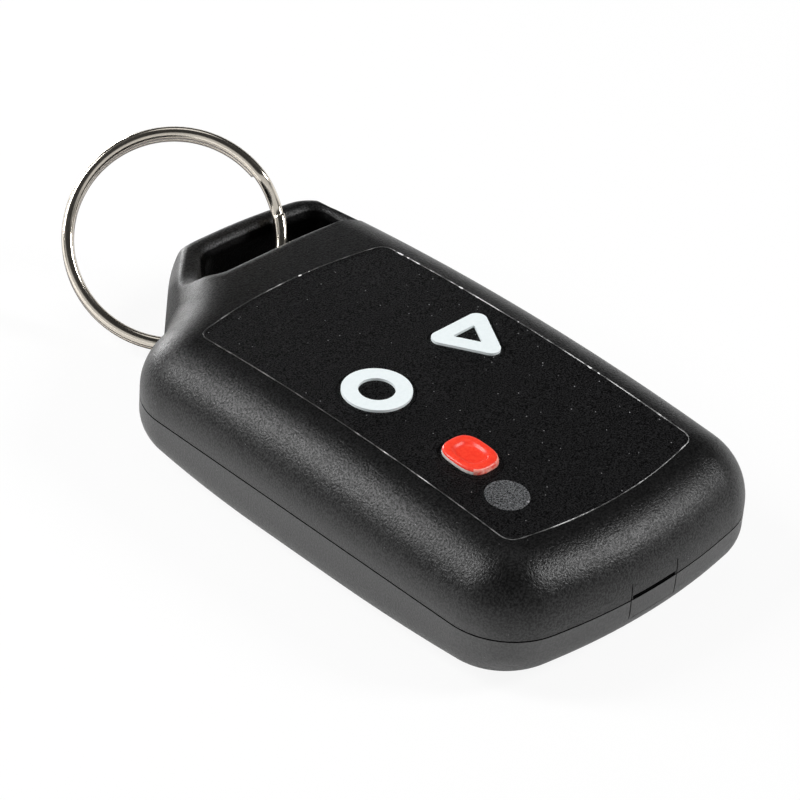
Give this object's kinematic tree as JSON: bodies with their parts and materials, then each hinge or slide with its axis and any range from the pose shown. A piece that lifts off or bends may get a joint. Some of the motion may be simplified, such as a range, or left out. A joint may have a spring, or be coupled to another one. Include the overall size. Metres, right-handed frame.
{
  "type": "remote key fob",
  "caption": "Pocket radio remote with a snap case, flush film keys, coin cell, key loop and split ring, for an alarm or intercom.",
  "frame": {"origin": "centre of the flat back face", "axes": "+Z out through the keys, +Y towards the key loop, +X to the right seen from the key side"},
  "size_m": [0.04, 0.0857, 0.0202],
  "materials": {
    "case_black": "satin",
    "film_dark": "fine speckle",
    "adhesive": "matte",
    "window_grey": "frosted",
    "mark_white": "satin",
    "mark_red": "satin",
    "plunger_plastic": "satin",
    "board_green": "solder mask",
    "switch_black": "matte",
    "tinned_metal": "satin",
    "spring_steel": "bright",
    "chip_black": "matte",
    "ceramic_tan": "fired",
    "copper": "enamelled",
    "lamp_red": "clear tint",
    "cell_steel": "bright",
    "gasket": "matte",
    "holder_plastic": "satin",
    "nickel": "bright nickel plate"
  },
  "bodies": {
    "case": {"upper_case": "case_black", "lower_case": "case_black", "label_overlay": "film_dark", "label_adhesive": "adhesive", "led_window": "window_grey", "circuit_board": "board_green", "encoder_chip": "chip_black", "encoder_leads": "tinned_metal", "resonator": "cell_steel", "trimmer": "ceramic_tan", "transistor": "chip_black", "transistor_leads": "tinned_metal", "chip_resistors": "chip_black", "chip_capacitors": "ceramic_tan", "antenna_loop": "copper", "led_lamp": "lamp_red", "led_leads": "tinned_metal", "battery_can": "cell_steel", "battery_gasket": "gasket", "battery_cap": "cell_steel", "battery_holder": "holder_plastic", "battery_positive_contact": "spring_steel", "battery_negative_contact": "spring_steel", "switch_base_circle": "switch_black", "switch_cover_circle": "tinned_metal", "switch_dome_circle": "spring_steel", "switch_terminals_circle": "tinned_metal", "switch_base_triangle": "switch_black", "switch_cover_triangle": "tinned_metal", "switch_dome_triangle": "spring_steel", "switch_terminals_triangle": "tinned_metal", "switch_base_square": "switch_black", "switch_cover_square": "tinned_metal", "switch_dome_square": "spring_steel", "switch_terminals_square": "tinned_metal"},
    "ring": {"split_ring": "nickel"},
    "key_circle": {"key_circle_film": "film_dark", "key_circle_mark": "mark_white", "plunger_circle": "plunger_plastic", "switch_stem_circle": "switch_black"},
    "key_triangle": {"key_triangle_film": "film_dark", "key_triangle_mark": "mark_white", "plunger_triangle": "plunger_plastic", "switch_stem_triangle": "switch_black"},
    "key_square": {"key_square_film": "film_dark", "key_square_mark": "mark_red", "plunger_square": "plunger_plastic", "switch_stem_square": "switch_black"}
  },
  "joints": [
    {"name": "circle_press", "type": "slide", "parent": "case", "child": "key_circle", "axis": [0, 0, -1], "range_m": [0, 0.00025], "stiffness_N_per_m": 6400, "deforming": ["switch_dome_circle"]},
    {"name": "triangle_press", "type": "slide", "parent": "case", "child": "key_triangle", "axis": [0, 0, -1], "range_m": [0, 0.00025], "stiffness_N_per_m": 6400, "deforming": ["switch_dome_triangle"]},
    {"name": "square_press", "type": "slide", "parent": "case", "child": "key_square", "axis": [0, 0, -1], "range_m": [0, 0.00025], "stiffness_N_per_m": 6400, "deforming": ["switch_dome_square"]},
    {"name": "ring_swing", "type": "hinge", "parent": "case", "child": "ring", "pos_m": [0, 0.0386, 0.0074], "axis": [1, 0, 0], "range_deg": [-2, 60]}
  ]
}
